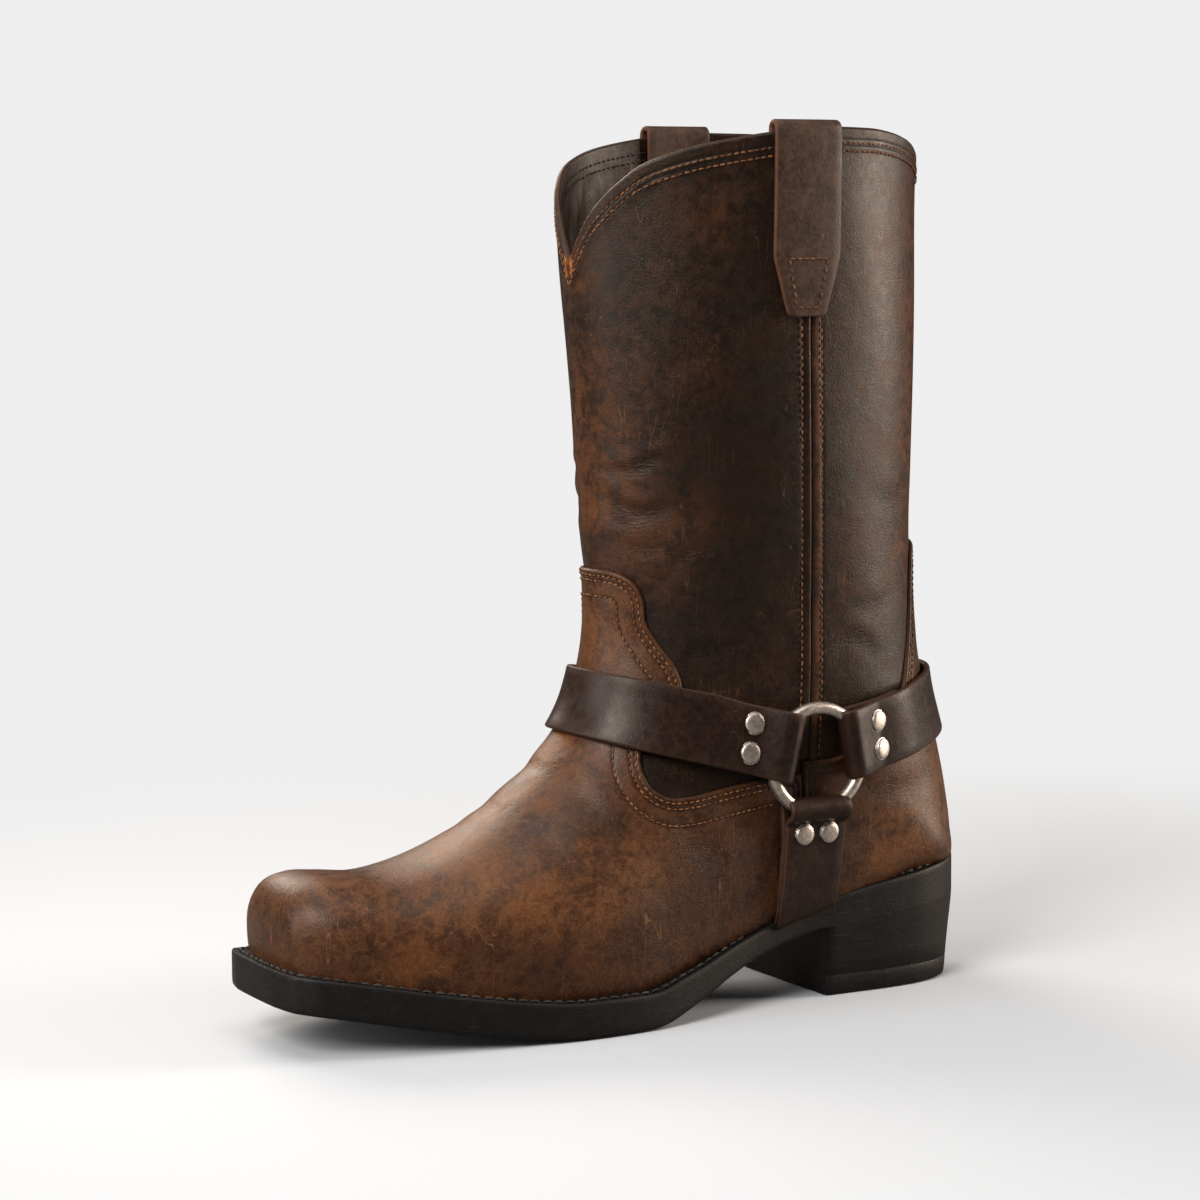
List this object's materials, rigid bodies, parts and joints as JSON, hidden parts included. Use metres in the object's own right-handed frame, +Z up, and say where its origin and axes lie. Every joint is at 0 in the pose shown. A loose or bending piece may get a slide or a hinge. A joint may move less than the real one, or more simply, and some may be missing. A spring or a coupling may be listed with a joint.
{
  "type": "western harness boot",
  "caption": "Square-toed western harness boot with a mid-calf shaft, pull straps, ring harness and stacked block heel.",
  "frame": {"origin": "centre of the heel's resting face, on the floor", "axes": "+Z up, -Y towards the toe, +X towards the outer side of the foot"},
  "size_m": [0.109, 0.311, 0.351],
  "materials": {
    "shaft_leather": "oiled pull-up leather, mottled dark brown",
    "foot_leather": "oiled pull-up leather, warm brown, soft sheen",
    "strap_leather": "smooth dark brown strap leather with raw edges",
    "insole_leather": "matt dark footbed",
    "black_rubber": "worn matt black rubber",
    "satin_steel": "satin nickel-plated steel"
  },
  "bodies": {
    "root": {"upper": "shaft_leather", "vamp": "foot_leather", "counter": "foot_leather", "welt": "black_rubber", "outsole": "black_rubber", "heel_block": "black_rubber", "heel_top_lift": "black_rubber", "insole": "insole_leather", "harness_front_strap": "strap_leather", "harness_rear_strap": "strap_leather", "harness_side_strap_outer": "strap_leather", "harness_ring_outer": "satin_steel", "pull_strap_outer": "strap_leather", "side_piping_outer": "shaft_leather", "rivet_front_outer_1": "satin_steel", "rivet_front_outer_2": "satin_steel", "rivet_rear_outer_1": "satin_steel", "rivet_rear_outer_2": "satin_steel", "rivet_side_outer_1": "satin_steel", "rivet_side_outer_2": "satin_steel", "harness_side_strap_inner": "strap_leather", "harness_ring_inner": "satin_steel", "pull_strap_inner": "strap_leather", "side_piping_inner": "shaft_leather", "rivet_front_inner_1": "satin_steel", "rivet_front_inner_2": "satin_steel", "rivet_rear_inner_1": "satin_steel", "rivet_rear_inner_2": "satin_steel", "rivet_side_inner_1": "satin_steel", "rivet_side_inner_2": "satin_steel"}
  },
  "joints": []
}
